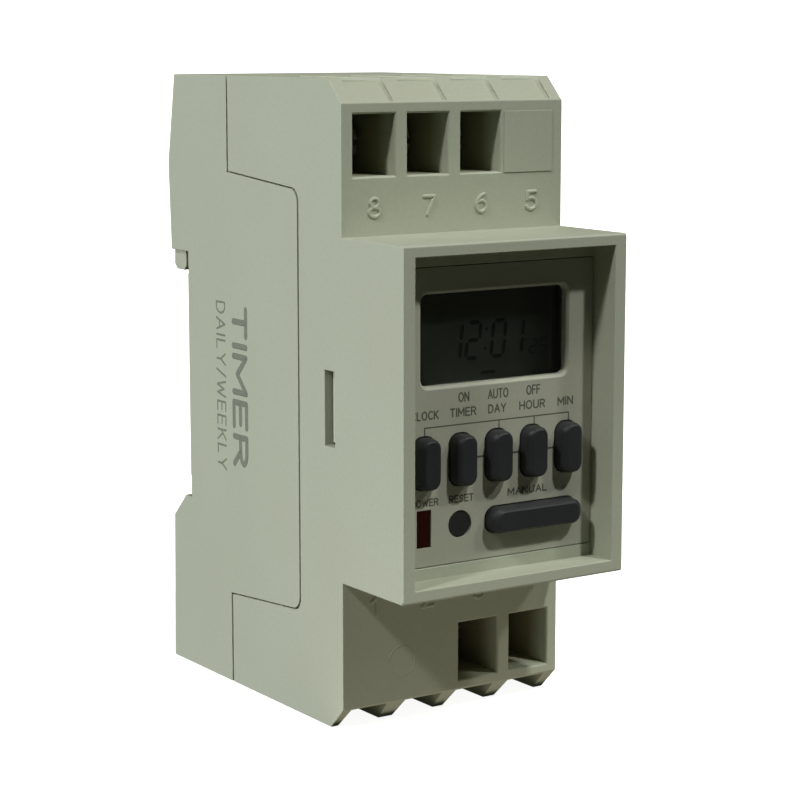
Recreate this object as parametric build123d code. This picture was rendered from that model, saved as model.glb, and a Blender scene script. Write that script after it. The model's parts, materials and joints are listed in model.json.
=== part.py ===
from build123d import *
import os

# Two-module digital weekly time switch for a 35 mm DIN rail.
# Frame: X across the modules, front towards -Y, Z up.
# Origin: centre of the seat on the rail (y = 0 is the front face of the rail, z = 0 its centreline).
# Units: millimetres.

os.makedirs("parts", exist_ok=True)

# ---- driving dimensions ----
WIDTH = 35.0            # two modules
HEIGHT = 85.0
NOSE_HEIGHT = 45.0      # height of the part that shows through a panel cut-out
NOSE_Y = -55.0          # front of the nose
TERMINAL_Y = -40.9      # terminal faces above and below the nose
CHAMFER = 3.1           # at the two front edges of the terminal faces
WALL = 1.6              # side walls
GAP = 0.15              # half of the visible seam between the case halves
SLANT_GAP = 0.06        # the same on the two slanted parts of the seam
SEAM_ARM_Y = -11.7      # seam beside the terminals
SEAM_TONGUE_Y = -30.15  # seam beside the nose
SEAM_TOP_Z = 28.0       # top corner of the base tongue
SEAM_LOW_Z = -28.2      # bottom corner of the base tongue
SEAM_DROP = 1.5         # how much the tongue flares towards the back
SEAM_R = 1.8            # corners of the tongue
RIM_SIDE = 1.85         # rim of the front opening
RIM_Z = (-20.85, 20.95)
FLOOR_Y = -50.6         # control panel surface
PANEL_T = 2.0
PANEL_Z = 19.15
RAIL_HALF = 17.65       # rail recess, for a 35 mm rail
SEAT_HALF = 14.6        # the part of the recess floor that touches the rail
SEAT_RELIEF = 0.15      # rest of the floor is set back
HOOK_TIP_Z = 14.8       # how far the fixed hook reaches over the rail flange
HOOK_HALF_X = 16.9

TERMINAL_Z = 34.05      # screw axes
TOP_X = {"8": -12.5, "7": -4.17, "6": 4.2}
LOW_X = {"3": 4.2, "4": 12.65}
TOP_RIBS = [(-17.6, -15.5), (-9.5, -7.2), (-1.15, 1.15), (7.2, 9.5), (15.6, 17.6)]
LOW_RIBS = [(-17.6, -16.0), (-10.4, -7.45), (-1.6, 0.8), (6.9, 9.5), (15.55, 17.6)]
WINDOW = (6.36, 7.9)    # screwdriver windows
WINDOW_EDGE = 0.22      # slope round their front edges
WINDOW_Z = {1: 30.1, -1: 30.35}   # inner edge of the windows at the top and at the bottom
BLANK_RISE = 0.12       # blank field in place of the fourth top window
HOOK_RISE = 0.45        # hook of a snap arm above the inner wall of the cover
FLANK = 0.32            # slope at the foot of the top ribs
SCREW_TIP_Y = -24.0
SCREW_R = 1.75          # M3.5
HEAD_R = 2.8
HEAD_Y = (-33.0, -30.6)
LEDGE_Y = -29.3         # back of the ledge that carries the screw head
CAGE_Y = (-25.6, -17.4) # open position
CAGE_W = 6.0
CAGE_PLATE = 1.4        # threaded plate
CAGE_FOOT = 1.2
BAR_Y = (-23.9, -22.8)
BLOCK_Z = 28.5          # inner face of the terminal blocks
BLOCK_Y = -16.8         # rear face of the terminal blocks
ENTRY_Y = (-22.9, -18.5)
ENTRY_HALF = 2.3
CHANNEL_Z = 39.75       # floor of the wire channels at the bottom

KEY_X = {"clock": -11.4, "timer": -5.75, "day": -0.1, "hour": 5.55, "min": 11.2}
KEY_Z = -5.68
KEY_SIZE = (3.5, 6.75)
KEY_TIP = (2.1, 6.1)
MANUAL_XZ = (5.55, -14.2)
MANUAL_SIZE = (14.7, 3.45)
MANUAL_TIP = (13.0, 2.5)
KEY_RISE = 2.03
KEY_PLAY = 0.1          # side clearance of a key in its hole
RESET_XZ = (-5.8, -14.15)
RESET_R = 1.68
LED_XZ = (-11.4, -14.2)
LED_SIZE = (2.0, 4.72)
KEY_BACK_Y = -47.9
LCD_X = (-11.75, 11.25)
LCD_Z = (4.0, 15.75)
GLASS_Y = -49.5
BOARD_Y = (-43.6, -42.0)   # display board
SWITCH_TOP_Y = -47.4
POWER_Y = (-14.0, -12.4)   # power board
SCREW_POSTS = [(-14.0, -19.2), (14.0, -19.2), (-14.0, 19.2), (14.0, 19.2)]

CLIP_HALF = 6.0
CLIP_CHANNEL_Y = 0.9
CLIP_TIP_Z = -15.2
CLIP_TAIL_Z = -39.4
WING_HALF = 7.1
SPRING_Z = (-33.4, -26.0)
SPRING_R = 1.6
SPRING_WIRE_R = 0.22

HALF_W = WIDTH / 2
HALF_H = HEIGHT / 2
INNER_X = HALF_W - WALL


# ---- helpers ----
def block(x0, x1, y0, y1, z0, z1):
    """Box between two corners."""
    return Pos((x0 + x1) / 2, (y0 + y1) / 2, (z0 + z1) / 2) * Box(x1 - x0, y1 - y0, z1 - z0)


def rod_y(x, z, y0, y1, r):
    """Cylinder along Y."""
    return Pos(x, (y0 + y1) / 2, z) * Rot(90, 0, 0) * Cylinder(r, y1 - y0)


def side_prism(points, x0, x1, rounds=()):
    """Solid with a (y, z) outline between two x planes; rounds = ((y, z, radius), ...)."""
    face = make_face(Polyline(*[(x0, y, z) for y, z in points], close=True))
    for y, z, r in rounds:
        corner = face.vertices().sort_by_distance((x0, y, z))[0]
        face = fillet(corner, r)
    return extrude(face, amount=x1 - x0, dir=(1, 0, 0))


def front_prism(points, y0, y1):
    """Solid with an (x, z) outline between two y planes."""
    face = make_face(Polyline(*[(x, y0, z) for x, z in points], close=True))
    return extrude(face, amount=y1 - y0, dir=(0, 1, 0))


def front_plane(x, y, z):
    """Plane facing the front, local x = X and local y = Z."""
    return Plane(origin=(x, y, z), x_dir=(1, 0, 0), z_dir=(0, -1, 0))


def pad(x, z, size, r, y0, y1):
    """Rounded rectangle between two y planes, y1 is the back."""
    return extrude(front_plane(x, y1, z) * RectangleRounded(size[0], size[1], r), amount=y1 - y0)


def save(part, name):
    part.label = name
    export_step(part, f"parts/{name}.step")


def seam(side):
    """Seam line from top to bottom: side 1 is the edge of the base, side -1 that of the cover."""
    arm = SEAM_ARM_Y + side * GAP
    tongue = SEAM_TONGUE_Y + side * GAP
    slant = side * SLANT_GAP
    return [
        (arm, HALF_H),
        (arm, SEAM_TOP_Z + SEAM_DROP - slant),
        (tongue, SEAM_TOP_Z - slant),
        (tongue, SEAM_LOW_Z + slant),
        (arm, SEAM_LOW_Z - SEAM_DROP + slant),
        (arm, -HALF_H),
    ]


def seam_rounds(side):
    tongue = SEAM_TONGUE_Y + side * GAP
    slant = side * SLANT_GAP
    return ((tongue, SEAM_TOP_Z - slant, SEAM_R), (tongue, SEAM_LOW_Z + slant, SEAM_R))


# ---- case ----
def rear_base():
    back = [
        (5.6, -HALF_H),
        (5.1, -21.2),
        (2.0, -18.2),
        (1.6, -RAIL_HALF - 0.1),
        (-SEAT_RELIEF, -RAIL_HALF - 0.1),
        (-SEAT_RELIEF, -SEAT_HALF),
        (0, -SEAT_HALF),
        (0, SEAT_HALF),
        (-SEAT_RELIEF, SEAT_HALF),
        (-SEAT_RELIEF, RAIL_HALF),
        (4.8, RAIL_HALF),
        (5.4, 30.0),
        (3.3, HALF_H),
    ]
    body = side_prism(seam(1) + back, -HALF_W, HALF_W, seam_rounds(1))
    body -= block(-INNER_X, INNER_X, -31, -WALL, -19.0, 19.3)
    body -= block(-INNER_X, INNER_X, -31, 1.7, 19.3, HALF_H - WALL)
    body -= block(-INNER_X, INNER_X, -31, CLIP_CHANNEL_Y - WALL, WALL - HALF_H, -19.0)
    body -= block(-INNER_X, -8.9, -2, 3.4, WALL - HALF_H, -22.5)
    body -= block(8.9, INNER_X, -2, 3.4, WALL - HALF_H, -22.5)
    hook = side_prism([(1.5, RAIL_HALF + 0.5), (1.5, HOOK_TIP_Z + 0.6), (2.1, HOOK_TIP_Z),
                       (4.3, HOOK_TIP_Z), (4.9, HOOK_TIP_Z + 0.6), (4.8, RAIL_HALF + 0.5)],
                      -HOOK_HALF_X, HOOK_HALF_X)
    body += hook
    body += rim_lip()
    for side in (-1, 1):
        body += snap_arm(side)
        for z in (-16.0, 17.0):
            body += rod_y(side * 12.2, z, POWER_Y[1] + 0.05, -1.0, 1.8)
    return body - clip_channel() + block(-1.6, 1.6, 0.5, 4.6, -35.0, SPRING_Z[0])


def rim_lip():
    """Thin lips that reach inside the front cover along the seam."""
    out_x = INNER_X - 0.15
    out_z = HALF_H - WALL - 0.15
    ring = block(-out_x, out_x, SEAM_ARM_Y - 1.3, SEAM_ARM_Y + 1.5, -out_z, out_z)
    ring -= block(1.0 - out_x, out_x - 1.0, -20, 0, 1.0 - out_z, out_z - 1.0)
    ring += block(-INNER_X - 0.3, INNER_X + 0.3, SEAM_ARM_Y + 0.6, SEAM_ARM_Y + 1.5, -out_z - 0.4, out_z + 0.4)
    ring -= block(1.0 - out_x, out_x - 1.0, -20, 0, 1.0 - out_z, out_z - 1.0)
    for side in (-1, 1):
        tongue = block(out_x - 1.0, out_x, SEAM_TONGUE_Y - 2.0, SEAM_TONGUE_Y + 2.5, -26, 26)
        tongue += block(out_x - 1.0, INNER_X + 0.3, SEAM_TONGUE_Y + 0.9, SEAM_TONGUE_Y + 2.5, -26, 26)
        ring += tongue if side > 0 else mirror(tongue, about=Plane.YZ)
    return ring


def snap_arm(side):
    """Spring arm with a hook that shows in the side slot of the cover."""
    arm = block(14.65, INNER_X - 0.15, -38.9, -29.0, -4.5, 4.8)
    arm += front_hook()
    return arm if side > 0 else mirror(arm, about=Plane.YZ)


def front_hook():
    tip = INNER_X + HOOK_RISE
    points = [(INNER_X - 0.4, -38.4), (INNER_X - 0.1, -38.4), (tip, -37.2), (tip, -36.85), (INNER_X - 0.4, -36.85)]
    face = make_face(Polyline(*[(x, y, -4.5) for x, y in points], close=True))
    return extrude(face, amount=9.3, dir=(0, 0, 1))


def clip_channel():
    """T-shaped guide for the rail clip, open to the back and to the bottom."""
    opening = block(-CLIP_HALF - 0.12, CLIP_HALF + 0.12, CLIP_CHANNEL_Y, 7, -44, -17)
    wings = block(-WING_HALF - 0.1, WING_HALF + 0.1, 2.2, 3.5, -44, -24.2)
    return opening + wings


def front_cover():
    nose_z = NOSE_HEIGHT / 2
    front = [
        (TERMINAL_Y + CHAMFER, -HALF_H),
        (TERMINAL_Y, CHAMFER - HALF_H),
        (TERMINAL_Y, -nose_z),
        (NOSE_Y, -nose_z),
        (NOSE_Y, nose_z),
        (TERMINAL_Y, nose_z),
        (TERMINAL_Y, HALF_H - CHAMFER),
        (TERMINAL_Y + CHAMFER, HALF_H),
    ]
    body = side_prism(seam(-1) + front, -HALF_W, HALF_W, seam_rounds(-1))
    nose_edges = [e for e in body.edges().filter_by(Axis.X) if e.center().Y < NOSE_Y + 0.1]
    body = fillet(nose_edges, 0.35)
    # cavities
    body -= block(-INNER_X, INNER_X, -47.2, -30, -20.9, 20.9)
    body -= block(-INNER_X, INNER_X, TERMINAL_Y + WALL, 0, -BLOCK_Z, BLOCK_Z)
    body -= block(-INNER_X, INNER_X, BLOCK_Y, 0, WALL - HALF_H, HALF_H - WALL)
    # front opening, panel seat and ledge
    body -= block(RIM_SIDE - HALF_W, HALF_W - RIM_SIDE, -56, FLOOR_Y, RIM_Z[0], RIM_Z[1])
    body -= block(-15.6, 15.6, FLOOR_Y - 0.5, FLOOR_Y + PANEL_T, -PANEL_Z - 0.1, PANEL_Z + 0.1)
    body -= block(-14.6, 14.6, -49, -46, -18.0, 18.0)
    for x, z in SCREW_POSTS:
        post = rod_y(x, z, -47.4, BOARD_Y[0] - 0.05, 1.5)
        if x < 0:
            post += block(-INNER_X - 0.2, x, -47.4, BOARD_Y[0] - 0.05, z - 1.0, z + 1.0)
        else:
            post += block(x, INNER_X + 0.2, -47.4, BOARD_Y[0] - 0.05, z - 1.0, z + 1.0)
        body += post - rod_y(x, z, -46.9, -43, 0.85)
    # side slots of the snap arms
    body -= block(-20, 20, -39.05, -36.65, -4.8, 5.1)
    for x in TOP_X.values():
        body -= terminal_chamber(x, 1)
    for x in LOW_X.values():
        body -= terminal_chamber(x, -1)
    body -= top_recesses()
    body -= low_channels()
    body += block(7.9, 15.85, TERMINAL_Y - BLANK_RISE, TERMINAL_Y + 0.2, 29.95, 38.0)
    return body


def terminal_chamber(x, side):
    """Everything cut out of the cover for one terminal; side = 1 top, -1 bottom."""
    half_w = WINDOW[0] / 2
    cage = CAGE_W / 2
    z0 = WINDOW_Z[side]
    cut = block(x - half_w, x + half_w, TERMINAL_Y - 0.5, HEAD_Y[1] + 0.05, z0, z0 + WINDOW[1])
    cut += window_chamfer(x, z0 + WINDOW[1] / 2)
    cut += rod_y(x, TERMINAL_Z, HEAD_Y[1] - 0.5, LEDGE_Y + 0.5, 2.1)
    cut += block(x - cage - 0.1, x + cage + 0.1, LEDGE_Y, BLOCK_Y + 0.5, TERMINAL_Z - 3.1, TERMINAL_Z + 3.1)
    cut += block(x - 2.1, x + 2.1, BAR_Y[0] - 0.2, BLOCK_Y + 0.5, BLOCK_Z - 1, 32)
    cut += block(x - ENTRY_HALF, x + ENTRY_HALF, ENTRY_Y[0], ENTRY_Y[1], 36, 44)
    return cut if side > 0 else mirror(cut, about=Plane.XY)


def window_chamfer(x, z):
    """Sloped edge round the front of a screwdriver window."""
    wide = Rectangle(WINDOW[0] + 2 * WINDOW_EDGE, WINDOW[1] + 2 * WINDOW_EDGE)
    front = front_plane(x, TERMINAL_Y, z) * wide
    back = front_plane(x, TERMINAL_Y + WINDOW_EDGE, z) * Rectangle(*WINDOW)
    return loft([front, back])


def gaps(ribs):
    return [(ribs[i][1], ribs[i + 1][0]) for i in range(len(ribs) - 1)]


def top_recesses():
    """Shallow recesses between the top ribs, with sloped flanks."""
    end = BLOCK_Y - 0.8
    outline = [(-40.68, 39.62), (-40.35, 39.3), (-37.55, 42.05), (end, 42.05), (end, 43), (-38, 43)]
    cuts = []
    for x0, x1 in gaps(TOP_RIBS):
        cut = side_prism(outline, x0, x1)
        flanks = []
        for e in cut.edges():
            sloped = abs(e.center().Y + 38.95) < 0.05 and abs(e.center().Z - 40.675) < 0.05
            level = abs(e.center().Z - 42.05) < 0.01 and e.center().Y > -37
            across = abs(e.center().X - (x0 + x1) / 2) < 1
            if (sloped or level) and not across:
                flanks.append(e)
        cuts.append(chamfer(flanks, FLANK))
    return cuts


def low_channels():
    """Open wire channels between the bottom ribs, ribs get thinner towards their tips."""
    cuts = []
    for x0, x1 in gaps(LOW_RIBS):
        points = [(x0, -CHANNEL_Z), (x1, -CHANNEL_Z), (x1 + 0.35, -HALF_H - 0.1), (x0 - 0.35, -HALF_H - 0.1)]
        cuts.append(front_prism(points, -42, BLOCK_Y - 0.8))
    return cuts


# ---- control panel ----
def control_panel():
    plate = block(-15.5, 15.5, FLOOR_Y, FLOOR_Y + PANEL_T - 0.05, -PANEL_Z, PANEL_Z)
    for x in KEY_X.values():
        size = (KEY_SIZE[0] + 2 * KEY_PLAY, KEY_SIZE[1] + 2 * KEY_PLAY)
        plate -= pad(x, KEY_Z, size, 1.55, -52, -48)
    size = (MANUAL_SIZE[0] + 2 * KEY_PLAY, MANUAL_SIZE[1] + 2 * KEY_PLAY)
    plate -= pad(MANUAL_XZ[0], MANUAL_XZ[1], size, 1.6, -52, -48)
    plate -= rod_y(RESET_XZ[0], RESET_XZ[1], -52, -48, RESET_R + KEY_PLAY)
    plate -= block(LED_XZ[0] - LED_SIZE[0] / 2 - 0.06, LED_XZ[0] + LED_SIZE[0] / 2 + 0.06, -52, -48,
                   LED_XZ[1] - LED_SIZE[1] / 2 - 0.06, LED_XZ[1] + LED_SIZE[1] / 2 + 0.06)
    plate -= pad(sum(LCD_X) / 2, sum(LCD_Z) / 2, (LCD_X[1] - LCD_X[0], LCD_Z[1] - LCD_Z[0]), 1.0, -52, -48)
    rim = [e for e in plate.edges() if abs(e.center().Y - FLOOR_Y) < 0.01 and e.center().Z > 3.9
           and e.center().Z < 15.8 and abs(e.center().X) < 12]
    return chamfer(rim, 0.35)


def lcd_window():
    x = sum(LCD_X) / 2
    z = sum(LCD_Z) / 2
    w = LCD_X[1] - LCD_X[0]
    h = LCD_Z[1] - LCD_Z[0]
    lens = pad(x, z, (w - 0.1, h - 0.1), 0.95, GLASS_Y, -48.4)
    return lens + block(x - w / 2 - 0.95, x + w / 2 + 0.95, -48.55, -47.75, z - h / 2 - 0.95, z + h / 2 + 0.95)


def lcd_cell():
    front = block(-13.2, 12.7, -47.65, -46.55, 2.6, 17.5)
    back = block(-13.2, 12.7, -46.5, -45.15, 3.9, 17.5)
    return Compound(children=[front, back])


def connector_strips():
    strips = [block(-12.0, 11.5, -45.1, BOARD_Y[0] - 0.05, 4.4, 6.0),
              block(-12.0, 11.5, -45.1, BOARD_Y[0] - 0.05, 15.4, 17.0)]
    return Compound(children=strips)


def key(x, z, size, tip, r, tip_r):
    """Key cap with a drafted front, a retaining flange and a stem."""
    body = pad(x, z, size, r, FLOOR_Y - 0.15, -48.4)
    base = front_plane(x, FLOOR_Y - 0.15, z) * RectangleRounded(size[0], size[1], r)
    mid = front_plane(x, FLOOR_Y - KEY_RISE + 0.55, z) * RectangleRounded(size[0] - 0.3, size[1] - 0.2, r - 0.1)
    top = front_plane(x, FLOOR_Y - KEY_RISE, z) * RectangleRounded(tip[0], tip[1], tip_r)
    body += loft([base, mid])
    body += loft([mid, top])
    flange = (size[0] + 1.2, size[1] + 1.0)
    return body + pad(x, z, flange, r, -48.5, KEY_BACK_Y)


def reset_key():
    x, z = RESET_XZ
    body = rod_y(x, z, FLOOR_Y + 0.15, -48.3, RESET_R)
    body += rod_y(x, z, -48.5, KEY_BACK_Y, RESET_R + 0.6)
    return body


def power_led():
    x, z = LED_XZ
    w, h = LED_SIZE
    body = block(x - w / 2, x + w / 2, FLOOR_Y, BOARD_Y[0] - 0.8, z - h / 2, z + h / 2)
    for dz in (-1.27, 1.27):
        body += block(x - 0.25, x + 0.25, BOARD_Y[0] - 1.0, BOARD_Y[1] + 0.8, z + dz - 0.25, z + dz + 0.25)
    return body


# ---- display board ----
def key_centres():
    keys = [(x, KEY_Z) for x in KEY_X.values()]
    return keys + [MANUAL_XZ, RESET_XZ]


def display_board():
    board = block(-15.6, 15.6, BOARD_Y[0], BOARD_Y[1], -20.6, 20.6)
    for x, z in SCREW_POSTS:
        board -= rod_y(x, z, -45, -41, 0.95)
    for dz in (-1.27, 1.27):
        board -= rod_y(LED_XZ[0], LED_XZ[1] + dz, -45, -41, 0.45)
    for i in range(8):
        board -= rod_y(13.4, 2.0 * i - 12.0, -45, -41, 0.5)
    return board


def tact_switch(x, z, tall):
    w, h = (1.75, 3.0) if tall else (3.0, 1.75)
    body = block(x - w, x + w, BOARD_Y[0] - 2.5, BOARD_Y[0] - 0.02, z - h, z + h)
    return body + rod_y(x, z, SWITCH_TOP_Y, BOARD_Y[0] - 2.0, 0.9)


def tact_switches():
    switches = [tact_switch(x, z, z == KEY_Z) for x, z in key_centres()]
    return Compound(children=switches)


def board_screws():
    screws = []
    for x, z in SCREW_POSTS:
        screw = rod_y(x, z, -46.6, -41.9, 0.8)
        screw += rod_y(x, z, BOARD_Y[1] + 0.05, BOARD_Y[1] + 1.2, 1.5)
        screw -= block(x - 0.8, x + 0.8, BOARD_Y[1] + 0.8, BOARD_Y[1] + 2, z - 0.15, z + 0.15)
        screw -= block(x - 0.15, x + 0.15, BOARD_Y[1] + 0.8, BOARD_Y[1] + 2, z - 0.8, z + 0.8)
        screws.append(screw)
    return Compound(children=screws)


def microcontroller():
    x, z = -4.4, -9.5
    y = BOARD_Y[1] + 0.05
    chip = block(x - 4.5, x + 4.5, y + 0.1, y + 1.5, z - 4.5, z + 4.5)
    for i in range(9):
        d = 0.8 * (i - 4)
        chip += block(x - 5.6, x + 5.6, y, y + 0.35, z + d - 0.16, z + d + 0.16)
        chip += block(x + d - 0.16, x + d + 0.16, y, y + 0.35, z - 5.6, z + 5.6)
    return chip


def quartz_crystal():
    y = BOARD_Y[1] + 0.05
    x = 4.2
    can = Pos(x, y + 1.5, -10.5) * Cylinder(1.5, 6.0)
    for dx in (-0.5, 0.5):
        can += block(x + dx - 0.15, x + dx + 0.15, y + 1.35, y + 1.65, -14.5, -13.3)
        can += block(x + dx - 0.15, x + dx + 0.15, y, y + 1.65, -14.8, -14.5)
    return can


def board_chips():
    y = BOARD_Y[1] + 0.05
    spots = [(7.5, -8.0), (7.5, -11.0), (7.5, -14.0), (9.8, -8.0), (9.8, -11.0), (9.8, -14.0)]
    chips = [block(x - 0.6, x + 0.6, y, y + 0.8, z - 1.0, z + 1.0) for x, z in spots]
    return Compound(children=chips)


def backup_cell():
    x, z, y = 1.0, 8.5, BOARD_Y[1]
    cell = rod_y(x, z, y + 0.6, y + 3.0, 9.2)
    cell += rod_y(x, z, y + 1.1, y + 3.6, 10.0)
    return fillet([e for e in cell.edges() if abs(e.center().Y - y - 3.6) < 0.01], 0.4)


def cell_tabs():
    y = BOARD_Y[1]
    low = block(-1.5, 3.5, y + 0.25, y + 0.5, -2.9, 10.5)
    low += block(-1.5, 3.5, y + 0.05, y + 0.5, -3.1, -2.6)
    high = block(-1.5, 3.5, y + 3.65, y + 3.9, 6.5, 19.9)
    high += block(-1.5, 3.5, y + 0.05, y + 3.9, 19.6, 19.9)
    return Compound(children=[low, high])


def board_header():
    pins = []
    for i in range(8):
        z = 2.0 * i - 12.0
        pins.append(block(13.4 - 0.3, 13.4 + 0.3, BOARD_Y[0] - 0.8, POWER_Y[1] + 0.8, z - 0.3, z + 0.3))
    for y0 in (BOARD_Y[1] + 0.05, POWER_Y[0] - 2.55):
        bar = block(12.4, 14.4, y0, y0 + 2.5, -13.2, 3.2)
        for pin in pins:
            bar -= pin
        pins = pins + [bar]
    header = pins[0]
    for piece in pins[1:]:
        header += piece
    return header


# ---- power board ----
def power_board():
    board = block(-14.6, 14.6, POWER_Y[0], POWER_Y[1], -39.4, 39.4)
    for i in range(8):
        board -= rod_y(13.4, 2.0 * i - 12.0, -15, -11, 0.5)
    for x in TOP_X.values():
        board -= block(x - 1.25, x + 1.25, -15, -11, 27.1, 28.1)
    for x in LOW_X.values():
        board -= block(x - 1.25, x + 1.25, -15, -11, -28.1, -27.1)
    return board


def busbar(x, side):
    """L-shaped bar from the terminal to the power board."""
    bar = block(x - 1.9, x + 1.9, BAR_Y[0], BAR_Y[1], 27.0, 36.6)
    bar += block(x - 1.9, x + 1.9, BAR_Y[0], POWER_Y[0] - 0.05, 27.0, 28.2)
    bar += block(x - 1.2, x + 1.2, POWER_Y[0] - 0.2, POWER_Y[1] + 0.8, 27.2, 28.0)
    return bar if side > 0 else mirror(bar, about=Plane.XY)


def relay():
    y = POWER_Y[0] - 0.05
    case = block(-12.9, -0.2, y - 15.7, y, -14.5, 14.5)
    return fillet([e for e in case.edges() if e.center().Y < y - 1], 0.5)


def dropper_capacitor():
    y = POWER_Y[0] - 0.05
    case = block(1.2, 10.2, y - 14.0, y, 2.0, 20.0)
    return fillet([e for e in case.edges() if e.center().Y < y - 1], 0.5)


def smoothing_capacitors():
    y = POWER_Y[0] - 0.05
    cans = []
    for z in (-5.0, -14.0):
        can = rod_y(6.0, z, y - 11.5, y, 4.0)
        can = fillet([e for e in can.edges() if e.center().Y < y - 11], 0.5)
        cans.append(can)
    return Compound(children=cans)


def varistor():
    y = POWER_Y[0] - 0.05
    disc = Pos(-8.0, y - 5.5, 20.5) * Cylinder(4.0, 3.6)
    disc += block(-10.9, -10.3, y - 3.0, y, 20.2, 20.8)
    disc += block(-5.7, -5.1, y - 3.0, y, 20.2, 20.8)
    return disc


def axial_part(x, z, length, r):
    """Small axial part along X with bent leads."""
    y = POWER_Y[0] - 0.05
    body = Pos(x, y - r - 0.3, z) * Rot(0, 90, 0) * Cylinder(r, length)
    half = length / 2 + 1.2
    body += block(x - half, x + half, y - r - 0.6, y - r, z - 0.3, z + 0.3)
    for dx in (0.3 - half, half - 0.3):
        body += block(x + dx - 0.3, x + dx + 0.3, y - r - 0.6, y, z - 0.3, z + 0.3)
    return body


def rectifier_diodes():
    return Compound(children=[axial_part(-9.0, z, 4.6, 1.2) for z in (-17.0, -20.5, -24.0, -31.5)])


def resistors():
    return Compound(children=[axial_part(x, z, 6.5, 1.3) for x, z in ((-1.0, -20.5), (-1.0, -24.0), (10.0, 23.5))])


def relay_driver():
    y = POWER_Y[0] - 0.05
    body = Pos(8.0, y - 5.5, -20.5) * Cylinder(2.2, 4.6)
    body -= block(5.0, 11.0, y - 9.0, y - 6.9, -24, -17)
    body += block(7.6, 8.4, y - 4.0, y, -20.9, -20.1)
    return body


# ---- terminals ----
def terminal_screw(x, side):
    z = TERMINAL_Z * side
    screw = rod_y(x, z, HEAD_Y[0], HEAD_Y[1], HEAD_R)
    screw = chamfer([e for e in screw.edges() if abs(e.center().Y - HEAD_Y[0]) < 0.01], 0.3)
    screw += rod_y(x, z, HEAD_Y[1] - 0.1, SCREW_TIP_Y, SCREW_R)
    slot_y = HEAD_Y[0] + 1.2
    screw -= block(x - 3, x + 3, HEAD_Y[0] - 1, slot_y, z - 0.4, z + 0.4)
    screw -= block(x - 0.4, x + 0.4, HEAD_Y[0] - 1, slot_y, z - 2.0, z + 2.0)
    return screw


def terminal_cage(x, side):
    z = TERMINAL_Z * side
    cage = block(x - 3.0, x + 3.0, CAGE_Y[0], CAGE_Y[1], z - 3.0, z + 3.0)
    cage = fillet(cage.edges().filter_by(Axis.Z), 0.5)
    cage -= block(x - 2.2, x + 2.2, CAGE_Y[0] + CAGE_PLATE, CAGE_Y[1] - CAGE_FOOT, z - 4, z + 4)
    return cage - rod_y(x, z, CAGE_Y[0] - 1, CAGE_Y[0] + 2, SCREW_R + 0.05)


# ---- rail clip ----
def rail_clip():
    outline = [
        (1.3, CLIP_TIP_Z),
        (2.1, CLIP_TIP_Z),
        (5.0, -19.8),
        (5.0, CLIP_TAIL_Z),
        (1.0, CLIP_TAIL_Z),
        (1.0, -18.0),
        (1.3, -18.0),
    ]
    clip = side_prism(outline, -CLIP_HALF, CLIP_HALF)
    clip += block(-WING_HALF, WING_HALF, 2.3, 3.4, CLIP_TAIL_Z + 0.3, -25.0)
    clip -= block(-2.3, 2.3, 0, 6, -35.05, SPRING_Z[1])
    return clip - block(-3.5, 3.5, 2.6, 6, -38.4, -37.0)


def clip_spring():
    z0 = SPRING_Z[0] + SPRING_WIRE_R + 0.02
    z1 = SPRING_Z[1] - SPRING_WIRE_R - 0.02
    path = Pos(0, 2.9, z0) * Helix((z1 - z0) / 5, z1 - z0, SPRING_R)
    start = Plane(origin=path @ 0, z_dir=path % 0)
    return sweep(start * Circle(SPRING_WIRE_R), path=path)


# ---- export ----
save(rear_base(), "rear_base")
save(front_cover(), "front_cover")
save(control_panel(), "control_panel")
save(lcd_window(), "lcd_window")
save(lcd_cell(), "lcd_cell")
save(connector_strips(), "lcd_connector_strips")
for name, key_x in KEY_X.items():
    save(key(key_x, KEY_Z, KEY_SIZE, KEY_TIP, 1.45, 0.9), f"key_{name}")
save(key(*MANUAL_XZ, MANUAL_SIZE, MANUAL_TIP, 1.5, 1.1), "key_manual")
save(reset_key(), "key_reset")
save(power_led(), "power_led")
save(display_board(), "display_board")
save(tact_switches(), "tact_switches")
save(board_screws(), "display_board_screws")
save(microcontroller(), "microcontroller")
save(quartz_crystal(), "quartz_crystal")
save(board_chips(), "display_board_chips")
save(backup_cell(), "backup_cell")
save(cell_tabs(), "cell_tabs")
save(board_header(), "board_header")
save(power_board(), "power_board")
save(relay(), "relay")
save(dropper_capacitor(), "dropper_capacitor")
save(smoothing_capacitors(), "smoothing_capacitors")
save(varistor(), "varistor")
save(rectifier_diodes(), "rectifier_diodes")
save(resistors(), "resistors")
save(relay_driver(), "relay_driver")
for positions, direction in ((TOP_X, 1), (LOW_X, -1)):
    for number, terminal_x in positions.items():
        save(terminal_screw(terminal_x, direction), f"terminal_screw_{number}")
        save(terminal_cage(terminal_x, direction), f"terminal_cage_{number}")
        save(busbar(terminal_x, direction), f"busbar_{number}")
save(rail_clip(), "rail_clip")
save(clip_spring(), "clip_spring")
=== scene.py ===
import json
import math

import bmesh
import bpy
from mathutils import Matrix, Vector
from mathutils.bvhtree import BVHTree

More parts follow.
